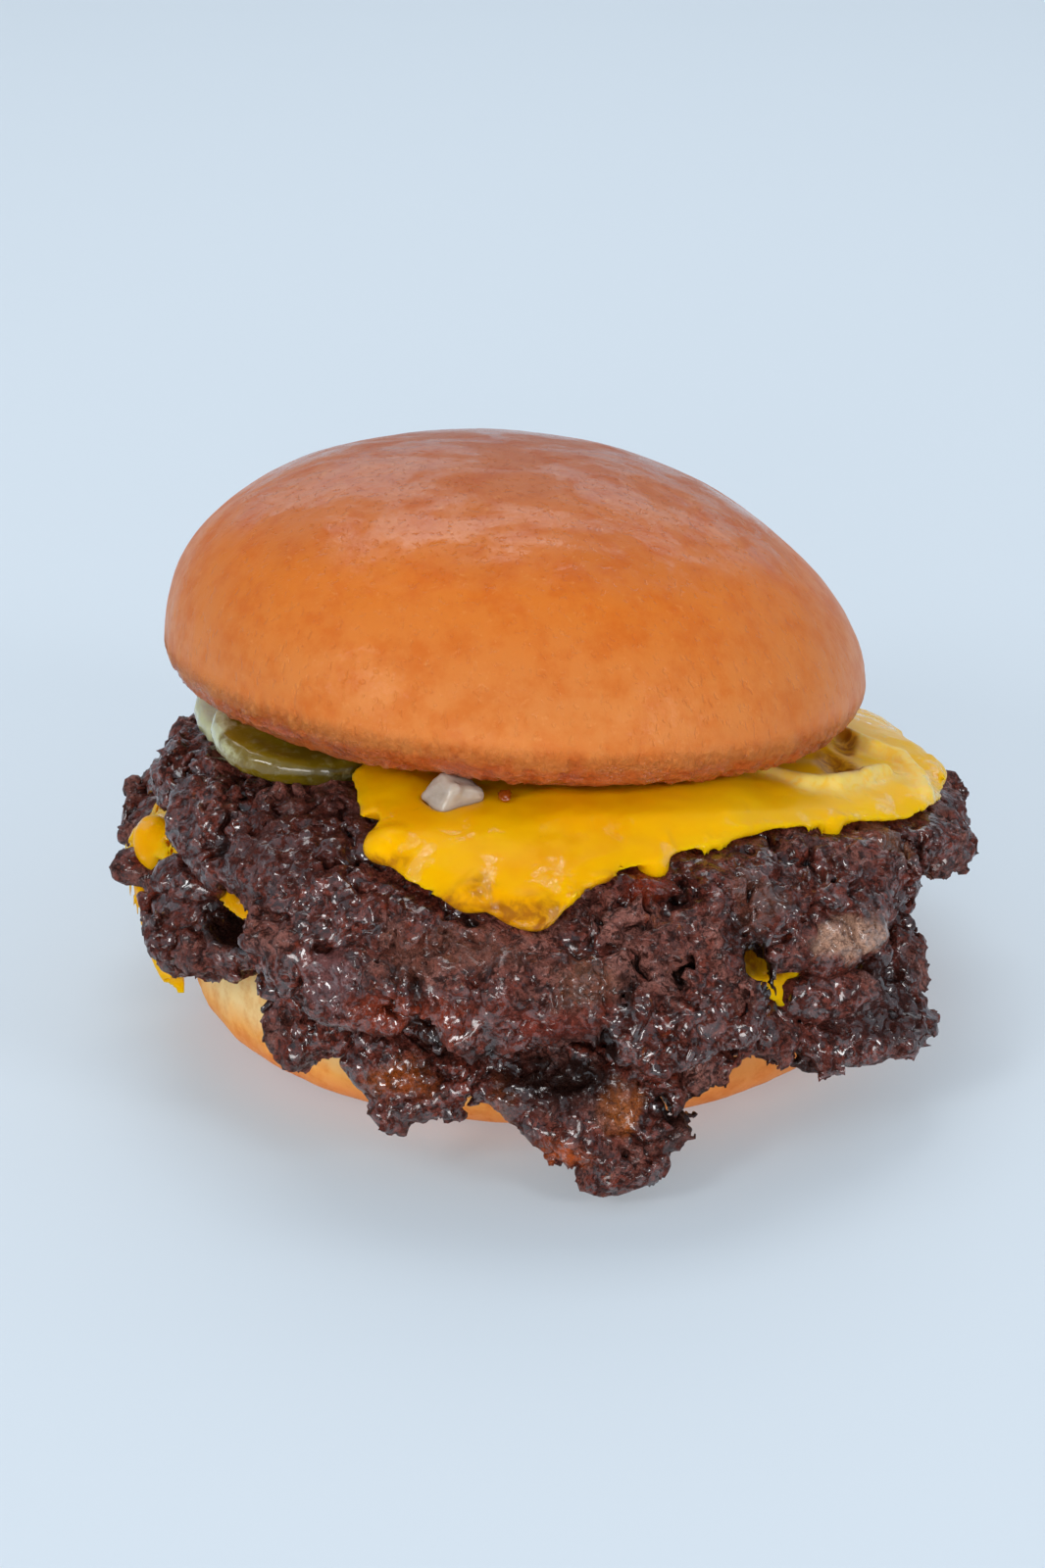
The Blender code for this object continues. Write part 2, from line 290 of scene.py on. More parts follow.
# solids as distance fields: they can be torn, swollen and cut before they are skinned
def solidDistance(tree, solid, where, withFacing=False):
    # distance from the surface of a solid: positive outside it, negative inside
    # withFacing also tells how far up its nearest face looks
    weld = addNode(tree, "GeometryNodeMergeByDistance", {"Geometry": solid, "Distance": weldDistance * mm})
    outward = addNode(tree, "GeometryNodeInputNormal").outputs["True Normal"]
    marked = keepValue(tree, weld.outputs[0], "facing", outward, "FLOAT_VECTOR")
    near = addNode(tree, "GeometryNodeProximity", {0: marked}, target_element="FACES").outputs
    facing = addNode(tree, "GeometryNodeInputNamedAttribute", {"Name": "facing"}, data_type="FLOAT_VECTOR")
    facing = addNode(tree, "GeometryNodeSampleNearestSurface", {"Mesh": marked, "Value": facing.outputs[0]},
                     data_type="FLOAT_VECTOR").outputs[0]
    away = vectorMath(tree, "SUBTRACT", where, near["Position"])
    side = vectorMath(tree, "DOT_PRODUCT", away, facing, "Value")
    distance = times(tree, near["Distance"], mathNode(tree, "SIGN", side))
    return (distance, axisOf(tree, facing, 2)) if withFacing else distance


def solidFromDistance(tree, distance, nodeName, voxel, margin=2.5):
    # skins the place where a distance field crosses zero, inside the box of one CAD node
    low, high = (Vector(corner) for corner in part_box(nodeName))
    around = Vector((margin, margin, margin)) * mm
    low, high = low - around, high + around
    steps = [int((high[k] - low[k]) / (voxel * mm)) for k in range(3)]
    volume = addNode(tree, "GeometryNodeVolumeCube", {
        "Density": times(tree, distance, -millimetres), "Background": -10, "Min": low, "Max": high,
        "Resolution X": steps[0], "Resolution Y": steps[1], "Resolution Z": steps[2]}).outputs[0]
    return addNode(tree, "GeometryNodeVolumeToMesh", {"Volume": volume, "Threshold": 0}).outputs[0]


def cellsNode(tree, where, size):
    cells = addNode(tree, "ShaderNodeTexVoronoi", {"Vector": where, "Scale": millimetres / size})
    return cells.outputs["Distance"]


def keepLargest(piece):
    # loose crumbs that touch nothing are dropped
    mesh = piece.data
    ends = np.empty(2 * len(mesh.edges), int)
    mesh.edges.foreach_get("vertices", ends)
    a, b = ends.reshape(-1, 2).T
    label = np.arange(len(mesh.vertices))
    while True:
        least = np.minimum(label[a], label[b])
        after = label.copy()
        np.minimum.at(after, a, least)
        np.minimum.at(after, b, least)
        after = after[after]
        if (after == label).all():
            break
        label = after
    names, counts = np.unique(label, return_counts=True)
    loose = label != names[counts.argmax()]
    if loose.any():
        work = bmesh.new()
        work.from_mesh(mesh)
        work.verts.ensure_lookup_table()
        bmesh.ops.delete(work, geom=[work.verts[k] for k in np.flatnonzero(loose)], context="VERTS")
        work.to_mesh(mesh)
        work.free()
    print(piece.name, "lost", int(loose.sum()), "loose points")


def smoothMin(tree, a, b, soft):
    return addNode(tree, "ShaderNodeMath", {0: a, 1: b, 2: soft * mm}, operation="SMOOTH_MIN").outputs[0]


def ballDistance(tree, where, ball):
    # ball is x, y, z and three radii
    centre, radii = Vector(ball[:3]) * mm, Vector(ball[3:]) * mm
    scaled = vectorMath(tree, "DIVIDE", vectorMath(tree, "SUBTRACT", where, centre), radii)
    return times(tree, minus(tree, lengthOf(tree, scaled), 1), min(radii))


def tubeDistance(tree, where, path, radius):
    # rounded rods from point to point, melted into each other
    total = None
    for start, end in zip(path, path[1:]):
        start, end = Vector(start) * mm, Vector(end) * mm
        along = end - start
        away = vectorMath(tree, "SUBTRACT", where, start)
        share = vectorMath(tree, "DOT_PRODUCT", away, along, "Value")
        share = mathNode(tree, "DIVIDE", share, along.length_squared, clamp=True)
        rod = lengthOf(tree, vectorMath(tree, "SUBTRACT", away, scaleVector(tree, along, share)))
        rod = minus(tree, rod, radius * mm)
        total = rod if total is None else smoothMin(tree, total, rod, 1)
    return total


def nearest(tree, distances):
    total = None
    for one in distances:
        total = one if total is None else mathNode(tree, "MINIMUM", total, one)
    return total


def ballsDistance(tree, where, balls):
    return nearest(tree, [ballDistance(tree, where, ball) for ball in balls])


# the crown is a sphere pulled into the domed top half of the bun
crown = {
    "facets": (400, 180),    # around, and from pole to pole
    "width": 51.9,           # radius at the belly, in mm like every length below
    "baseWidth": 44.5,       # radius of the flat underside
    "belly": 6.3,            # height of the widest level
    "dome": 32.4,
    "sag": 0.8,
    "roll": 0.3,             # share of the lower half that rolls under, before the flat underside
    "crest": (-1.2, -0.7),
    # right, back, left, front: 2 is an ellipse, more is squarer
    "shoulders": (1.66, 1.55, 2.35, 1.55),
    "lean": (-0.12, 0.08),
    "rimCreases": 0.7,
    "creaseSize": 2.6,
    "creaseTop": 11,         # height where the last creases end
    "swell": (1.6, 30),      # height and size of each bump, for these three
    "dimples": (0.24, 4.5),
    "scallops": (1.6, 3.6),
    "top": srgb(176, 88, 34),
    "middle": srgb(216, 116, 38),
    "low": srgb(214, 126, 62),
    "edge": srgb(208, 100, 42),
    "fleck": srgb(250, 190, 120),
    "mottling": srgb(246, 224, 196),     # what the darker blotches multiply the crust by
    # painted shade that the rim creases multiply the crust by
    "creaseShadeTint": srgb(234, 186, 146),
    "shine": 0.85,
}


def crownForm(points):
    # points on a unit sphere become points on the crown, with its base at zero
    x, y, z = points.T
    bearing = np.arctan2(y, x)
    level = np.arcsin(np.clip(z, -1, 1)) / (math.pi / 2)
    right, back, left, front = crown["shoulders"]
    side = np.where(np.cos(bearing) > 0, right, left) * np.cos(bearing) ** 2
    shoulder = side + np.where(np.sin(bearing) > 0, back, front) * np.sin(bearing) ** 2
    share = np.cos(np.clip(level, 0, 1) * math.pi / 2)
    rise = (1 - share ** 2) ** (1 / shoulder)
    radius = crown["width"] * share
    height = crown["belly"] + crown["dome"] * rise
    # below the belly: the rolled rim first, then the flat underside
    turn = np.clip(-level / crown["roll"], 0, 1) * math.pi / 2
    rim = crown["baseWidth"] + (crown["width"] - crown["baseWidth"]) * np.cos(turn)
    inward = np.clip((-level - crown["roll"]) / (1 - crown["roll"]), 0, 1)
    radius = np.where(level < 0, rim * (1 - inward), radius)
    under = crown["belly"] * (1 - np.sin(turn)) - crown["sag"] * np.sin(inward * math.pi / 2)
    height = np.where(level < 0, under, height)
    rise = np.where(level < 0, 0, rise)
    return np.stack([
        radius * np.cos(bearing) + crown["crest"][0] * rise ** 2,
        radius * np.sin(bearing) + crown["crest"][1] * rise ** 2,
        height,
    ], 1)


def crownMaterial():
    material, tree, shader = newMaterial("bakedCrown")
    where = objectPlace(tree)

    def blobs(*shape):
        return noiseNode(tree, where, *shape)

    rise = storedValue(tree, "rise")
    cloud = unevenNode(tree, where, 26, 4, 0.6, 0.4)
    mottle = blobs(5, 5, 0.65)
    fleck = blobs(1.3, 4, 0.6)
    tone = plus(tree, rise, times(tree, cloud, 0.3))
    crust = rampNode(tree, tone, [
        (0, crown["low"]), (0.3, crown["low"]), (0.62, crown["middle"]), (1, crown["top"]),
    ], "LINEAR")
    # thin dark line where the rim turns under
    brim = plus(tree, rise, times(tree, minus(tree, mottle, 0.5), 0.07))
    crust = mixColour(tree, fadeNode(tree, brim, 0.112, 0.085, 0, 0.7), crust, crown["edge"])
    darker = mixColour(tree, 1, crust, crown["mottling"], "MULTIPLY")
    crust = mixColour(tree, greyRamp(tree, mottle, (0.4, 0), (0.7, 1)), crust, darker)
    pale = mixColour(tree, 0.3, crust, crown["fleck"])
    crust = mixColour(tree, greyRamp(tree, fleck, (0.6, 0), (0.78, 0.6)), crust, pale)
    # painted shade: the creases near the rim are painted darker
    crease = storedValue(tree, "crease")
    creased = mixColour(tree, 1, crust, crown["creaseShadeTint"], "MULTIPLY")
    crust = mixColour(tree, crease, crust, creased)
    skin = bumpNode(tree, blobs(0.55, 3, 0.6), 0.14, 0.1)
    skin = bumpNode(tree, blobs(2.4, 4, 0.6), 0.15, 0.2, skin)
    wrinkle = times(tree, blobs(0.9, 5, 0.75, 0.8), fadeNode(tree, rise, 0.2, 0.12))
    skin = bumpNode(tree, wrinkle, 1, 0.9, skin)
    upright = noiseNode(tree, stretched(tree, where, 1, 1, 0.3), 1.7, 3, 0.6)
    skin = bumpNode(tree, upright, 0.3, 0.3, skin)
    pores = noiseNode(tree, stretched(tree, where, 1, 1, 0.5), 1, 2, 0.5)
    skin = bumpNode(tree, greyRamp(tree, pores, (0.3, 0), (0.42, 1)), 0.4, 0.3, skin)
    # the egg wash shows as a streaky shine on the top
    wash = noiseNode(tree, stretched(tree, where, 0.45, 1, 1), 7, 5, 0.65, 0.5)
    upper = fadeNode(tree, tone, 0.62, 0.78, 0.15, 1)
    washed = times(tree, greyRamp(tree, wash, (0.43, 0.15), (0.57, 1)), upper)
    # grease on the wrinkled rim
    rim = fadeNode(tree, rise, 0.16, 0.06)
    washed = mathNode(tree, "MAXIMUM", washed, times(tree, rim, greyRamp(tree, mottle, (0.4, 0), (0.6, 2))))
    streak = noiseNode(tree, stretched(tree, where, 0.35, 1, 1), 3, 5, 0.6, 0.4)
    setSockets(tree, shader, {
        "Base Color": crust,
        "Roughness": greyRamp(tree, mottle, (0.3, 0.36), (0.75, 0.5)),
        "Normal": skin,
        "Subsurface Weight": 0.1,
        "Subsurface Radius": (1, 0.4, 0.15),
        "Subsurface Scale": 1.5 * mm,
        "Specular IOR Level": 0.3,
        "Specular Tint": srgb(255, 190, 120),
        "Coat Weight": times(tree, washed, crown["shine"]),
        "Coat Roughness": 0.12,
        "Coat Normal": bumpNode(tree, streak, 0.8, 0.6, skin),
    })
    return material


def makeCrown():
    work = bmesh.new()
    around, upright = crown["facets"]
    bmesh.ops.create_uvsphere(work, u_segments=around, v_segments=upright, radius=1.0)
    piece = pieceFrom(work, "crown.bun")
    shaped = crownForm(np.array([v.co for v in piece.data.vertices]))
    piece.data.vertices.foreach_set("co", (shaped * mm).ravel())
    piece.data.update()

    def relief(tree, geometry):
        where = pointPlace(tree)
        height = axisOf(tree, where, 2)
        # upright creases that come and go, and fade out above the belly
        folds = noiseNode(tree, stretched(tree, where, 1, 1, 0.22), crown["creaseSize"], 3, 0.6, 0.6)
        folds = times(tree, mathNode(tree, "ABSOLUTE", minus(tree, folds, 0.5)), 9)
        low = fadeNode(tree, height, 2 * mm, crown["creaseTop"] * mm, 1, 0)
        patch = fadeNode(tree, noiseNode(tree, where, 14, 2), 0.4, 0.65, 0.2, 1, "LINEAR")
        crease = times(tree, times(tree, minus(tree, 1, folds, clamp=True), low), patch)
        # soft dents all over, and a wavy edge underneath
        total = reliefNoise(tree, where, crown["swell"], 2, 0.5)
        total = plus(tree, total, reliefNoise(tree, where, crown["dimples"], 4, 0.55))
        total = minus(tree, total, times(tree, crease, crown["rimCreases"] * mm))
        scallop, scallopSize = crown["scallops"]
        under = fadeNode(tree, height, 4.5 * mm, 1 * mm)
        wavy = times(tree, unevenNode(tree, where, scallopSize, 3, 0.6), under)
        total = plus(tree, total, times(tree, wavy, scallop * mm))
        geometry = keepValue(tree, geometry, "crease", crease)
        rise = mathNode(tree, "DIVIDE", height, (crown["belly"] + crown["dome"]) * mm)
        geometry = keepValue(tree, geometry, "rise", rise)
        return pushOut(tree, geometry, total)

    addRelief(piece, relief)
    bake(piece)
    # the same lean as the solid, and centred on it
    turn = Euler((math.atan(crown["lean"][0]), math.atan(crown["lean"][1]), 0)).to_matrix().to_4x4()
    piece.data.transform(turn)
    low, high = (np.array(corner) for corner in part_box("crown"))
    points = np.array([v.co for v in piece.data.vertices])
    shift = (low + high) / 2 - (points.min(0) + points.max(0)) / 2
    piece.data.transform(Matrix.Translation(Vector(shift)))
    finishPiece(piece, crownMaterial(), ["crown"])


makeCrown()


# the heel is the solid's own shape, rounded and baked
heel = {
    "height": 20.5,          # mm, where the brown top edge begins
    "voxel": 0.9,
    "rounding": 20,          # smoothing passes
    "swell": (1.4, 22),      # height and size of each bump
    "crumbs": (0.4, 2.2),
    "flatFoot": 2.5,         # mm above the table that stay nearly smooth
    "pale": srgb(248, 208, 140),
    "toast": srgb(244, 168, 80),
    "brown": srgb(236, 142, 66),
    "base": srgb(226, 134, 62),
    "mottling": srgb(240, 214, 188),
}


def heelMaterial():
    material, tree, shader = newMaterial("bakedHeel")
    where = objectPlace(tree)
    waver = reliefNoise(tree, where, (7, 9), 3)
    level = plus(tree, axisOf(tree, where, 2), waver)
    level = mathNode(tree, "DIVIDE", level, heel["height"] * mm, clamp=True)
    crust = rampNode(tree, level, [
        (0, heel["base"]), (0.16, heel["brown"]), (0.34, heel["toast"]), (0.54, heel["pale"]),
        (0.74, heel["pale"]), (0.9, heel["toast"]), (1, heel["brown"]),
    ], "LINEAR")
    # the right side sat nearer the flame
    sideways = plus(tree, axisOf(tree, where, 0), reliefNoise(tree, where, (20, 16), 3))
    browner = mixColour(tree, 0.82, crust, heel["brown"])
    crust = mixColour(tree, fadeNode(tree, sideways, -22 * mm, 18 * mm), crust, browner)
    mottle = noiseNode(tree, where, 3.4, 5, 0.65)
    darker = mixColour(tree, 1, crust, heel["mottling"], "MULTIPLY")
    crust = mixColour(tree, greyRamp(tree, mottle, (0.4, 0), (0.7, 1)), crust, darker)
    setSockets(tree, shader, {
        "Base Color": crust,
        "Roughness": greyRamp(tree, mottle, (0.3, 0.5), (0.7, 0.7)),
        "Normal": bumpNode(tree, noiseNode(tree, where, 0.7, 4, 0.65), 0.3, 0.2),
        "Specular IOR Level": 0.25,
        "Subsurface Weight": 0.2,
        "Subsurface Radius": (1, 0.5, 0.25),
        "Subsurface Scale": 2 * mm,
    })
    return material


def makeHeel():
    piece = meshOf("heel", "heel.bun")
    remesh = piece.modifiers.new("remesh", "REMESH")
    remesh.mode = "VOXEL"
    remesh.voxel_size = heel["voxel"] * mm
    smoothOut(piece, heel["rounding"])

    def relief(tree, geometry):
        where = pointPlace(tree)
        swell = reliefNoise(tree, where, heel["swell"], 3, 0.5)
        total = plus(tree, swell, reliefNoise(tree, where, heel["crumbs"], 4, 0.6))
        # the underside stays flat on the table
        rest = fadeNode(tree, axisOf(tree, where, 2), 0.2 * mm, heel["flatFoot"] * mm, easing="LINEAR")
        return pushOut(tree, geometry, times(tree, total, rest))

    addRelief(piece, relief)
    bake(piece)
    finishPiece(piece, heelMaterial(), ["heel"])


makeHeel()


# cheese: the slices are swollen a little, so that every edge melts round
cheese = {
    "voxel": 0.5,
    "swell": 0.3,            # mm added all round
    "waves": (1.12, 9),      # height and size
    "ragged": (3, 7.5),      # how far the outline wanders, and how wide its waves are
    "blend": {"runs": 2.2, "folds": 1.6, "threads": 0.8, "cuts": 0.8},   # mm over which parts melt together
    "melt": 4,               # smoothing passes
    "mostFaces": 110000,
    "yellow": srgb(244, 178, 0),
    "deepYellow": srgb(236, 160, 0),
    # brown for grease stains, and for painted shade in the dimples and the hole
    "greaseAndShadeBrown": srgb(160, 94, 12),
    "pale": srgb(244, 206, 110),
    "gloss": 1,
    "plump": 1.2,            # mm that the slice rises where the crown presses beside it
    # painted light: a brighter yellow for the right side of the slices
    "paintedLightYellow": srgb(252, 190, 8),
    "strand": 3.6,           # mm that the hanging strand is tucked in
    # folds, dimples and runs of each slice: x, y, z and radii
    "folds": {"cheese_upper": [
        ([(31, -20, 43.4), (36.5, -22.6, 43), (41, -21, 42.2), (45.6, -15.5, 41), (49, -11, 39.6)], 1.3),
        ([(44, 3, 39.4), (48.3, -1.7, 39), (52.2, -2, 37.6), (54.4, -8, 37), (54.8, -13.5, 37)], 1.6),
    ]},
    "dimples": {"cheese_upper": [(42.6, -11.5, 42, 3.2, 6, 2.2), (44.2, -1.5, 40.8, 1.6, 4.4, 1.9)]},
    "runs": {"cheese_lower": [(-57.4, -11.8, 28.6, 2.6, 2.6, 3.8)], "cheese_upper": [
        (14.2, -49.4, 42.6, 2, 2, 1.9), (39.5, -30.2, 39.6, 1.5, 1.4, 1.6),
        (-10.5, -59.2, 42.6, 1.8, 1.2, 1.6), (-2.5, -61, 41, 2, 1, 1.8), (-20.6, -49.6, 46.6, 2, 2, 1.6),
        (-22.2, -50.6, 45.6, 2, 2, 1.4), (57.2, 3, 33, 2.2, 3.4, 1.6),
    ]},
    "bites": {
        "cheese_upper": [
            (10, -53.6, 41.6, 1.8, 2.4, 1.9), (-24, -45, 46.4, 1.6, 2, 2), (60.4, 13, 35, 2.6, 7, 3),
        ],
        "cheese_lower": [(-54.6, -15, 4.4, 4, 4, 3)],
    },
    # beef grease soaked into the hanging edge of the upper slice; on the lower slice, painted shade where
    # it shows through a hole in the beef
    "stains": {
        "cheese_upper": [
            (-3.6, -61.6, 41, 6, 3.6, 2.2), (-12.5, -59.8, 41.8, 3.4, 2.4, 1.4),
            (-9, -59, 43.6, 1.8, 1.6, 1.4), (8, -56, 42.4, 3.4, 3, 1.2), (-21, -52.4, 44.6, 3, 2, 1),
        ],
        # painted shade where the lower slice shows through the hole in the beef
        "cheese_lower": [(27.6, -50.2, 29.4, 3.2, 3.6, 2.4), (32, -49.4, 28.4, 2.4, 3, 2.2)],
    },
    # thin raised lines where the slice stretched
    "threads": {"cheese_upper": [
        ([(14.4, -45, 46.6), (15.8, -46.6, 45.8), (16.8, -48.6, 44.6)], 0.45),
        ([(-7.6, -57.6, 45), (-7, -59.6, 43.8), (-6.8, -61, 42.2)], 0.45),
        ([(-9.8, -57.2, 45), (-11.6, -59.2, 43.8)], 0.6),
        ([(23, -42, 44.6), (27.2, -39.8, 43.8)], 0.7),
    ]},
}


def cheeseMaterial():
    material, tree, shader = newMaterial("meltedCheese")
    where = objectPlace(tree)
    broad = noiseNode(tree, where, 12, 3, 0.5)
    blend = greyRamp(tree, broad, (0.35, 0), (0.65, 1))
    colour = mixColour(tree, blend, cheese["deepYellow"], cheese["yellow"])
    x = axisOf(tree, where, 0)
    # painted light: the right side of the slice is painted brighter
    colour = mixColour(tree, fadeNode(tree, x, 6 * mm, 26 * mm, 0, 0.7), colour, cheese["paintedLightYellow"])
    # stretched thin it goes pale; grease stains, and painted shade in the dimples and in the hole, are
    # brown
    streak = greyRamp(tree, noiseNode(tree, where, 2.4, 4, 0.6, 1), (0.35, 0.4), (0.6, 1))
    for label, tint in (("thin", "pale"), ("greasy", "greaseAndShadeBrown")):
        share = times(tree, storedValue(tree, label), streak, clamp=True)
        colour = mixColour(tree, share, colour, cheese[tint])
    # wettest along the hanging edges
    wet = noiseNode(tree, where, 5, 3, 0.6, 0.6)
    drip = fadeNode(tree, reachOf(tree, where), 44 * mm, 52 * mm, 0.1, 1)
    wet = times(tree, greyRamp(tree, wet, (0.54, 0.02), (0.64, cheese["gloss"])), drip)
    soft = bumpNode(tree, noiseNode(tree, where, 3, 2, 0.5), 0.2, 0.3)
    glints = bumpNode(tree, noiseNode(tree, where, 1.8, 3, 0.6, 0.5), 0.9, 0.7, soft)
    setSockets(tree, shader, {
        "Base Color": colour,
        "Roughness": 0.32,
        "Normal": soft,
        "Specular IOR Level": 0.15,
        "Specular Tint": srgb(255, 190, 60),
        "Subsurface Weight": 0.5,
        "Subsurface Radius": (1, 0.6, 0.02),
        "Subsurface Scale": 3 * mm,
        "Coat Weight": wet,
        "Coat Roughness": 0.07,
        "Coat IOR": 1.8,
        "Coat Normal": glints,
    })
    return material


def cheeseDistance(tree, nodeName, solid, where):
    # the outline wanders sideways, and the strand on the left hangs closer to the beef
    wander, size = cheese["ragged"]
    drift = stretched(tree, driftNode(tree, where, size), wander * mm, wander * mm, 0)
    pull = fadeNode(tree, axisOf(tree, where, 0), -52 * mm, -57 * mm, 0, -cheese["strand"] * mm)
    tuck = addNode(tree, "ShaderNodeCombineXYZ", {0: pull}).outputs[0]
    moved = vectorMath(tree, "ADD", vectorMath(tree, "ADD", where, drift), tuck)
    body = solidDistance(tree, solid, moved)
    for ball in cheese["runs"][nodeName]:
        body = smoothMin(tree, body, ballDistance(tree, where, ball), cheese["blend"]["runs"])
    return body


cheeseLook = cheeseMaterial()


def makeCheese(nodeName, name):
    piece = meshOf(nodeName, name)
    blend = cheese["blend"]

    def melt(tree, geometry):
        where = pointPlace(tree)
        body = minus(tree, cheeseDistance(tree, nodeName, geometry, where), cheese["swell"] * mm)
        body = minus(tree, body, reliefNoise(tree, where, cheese["waves"], 2, 0.45))
        if nodeName == "cheese_upper":
            x = axisOf(tree, where, 0)
            plump = fadeNode(tree, reachOf(tree, where), 50 * mm, 46 * mm)
            for start, end in ((-6, 4), (32, 24)):
                plump = times(tree, plump, fadeNode(tree, x, start * mm, end * mm))
            body = minus(tree, body, times(tree, plump, cheese["plump"] * mm))
        for part in ("folds", "threads"):
            for path, radius in cheese[part].get(nodeName, []):
                body = smoothMin(tree, body, tubeDistance(tree, where, path, radius), blend[part])
        dimples = ballsDistance(tree, where, cheese["dimples"].get(nodeName, []))
        bites = ballsDistance(tree, where, cheese["bites"].get(nodeName, []))
        for cut in (dimples, bites):
            if cut is not None:
                body = times(tree, smoothMin(tree, times(tree, body, -1), cut, blend["cuts"]), -1)
        skin = solidFromDistance(tree, body, nodeName, cheese["voxel"])
        # grease stains on the upper slice, painted shade on the lower one
        stains = ballsDistance(tree, warpNode(tree, where, 3, 1.2), cheese["stains"][nodeName])
        greasy = fadeNode(tree, stains, 1.2 * mm, -0.8 * mm)
        if dimples is not None:
            # painted shade: the dimples are painted brown, as the pocket in the fold lies in shade
            greasy = mathNode(tree, "MAXIMUM", fadeNode(tree, dimples, 0.9 * mm, -0.1 * mm), greasy)
        skin = keepValue(tree, skin, "greasy", greasy)
        folds = [tubeDistance(tree, where, path, 0) for path, _ in cheese["folds"].get(nodeName, [])]
        if folds:
            skin = keepValue(tree, skin, "thin", fadeNode(tree, nearest(tree, folds), 4.5 * mm, 1.2 * mm))
        return skin

    addRelief(piece, melt)
    smoothOut(piece, cheese["melt"])
    bake(piece)
    keepLargest(piece)
    thinOut(piece, cheese["mostFaces"])
    finishPiece(piece, cheeseLook, [nodeName])


makeCheese("cheese_lower", "cheese.lower")
makeCheese("cheese_upper", "cheese.upper")


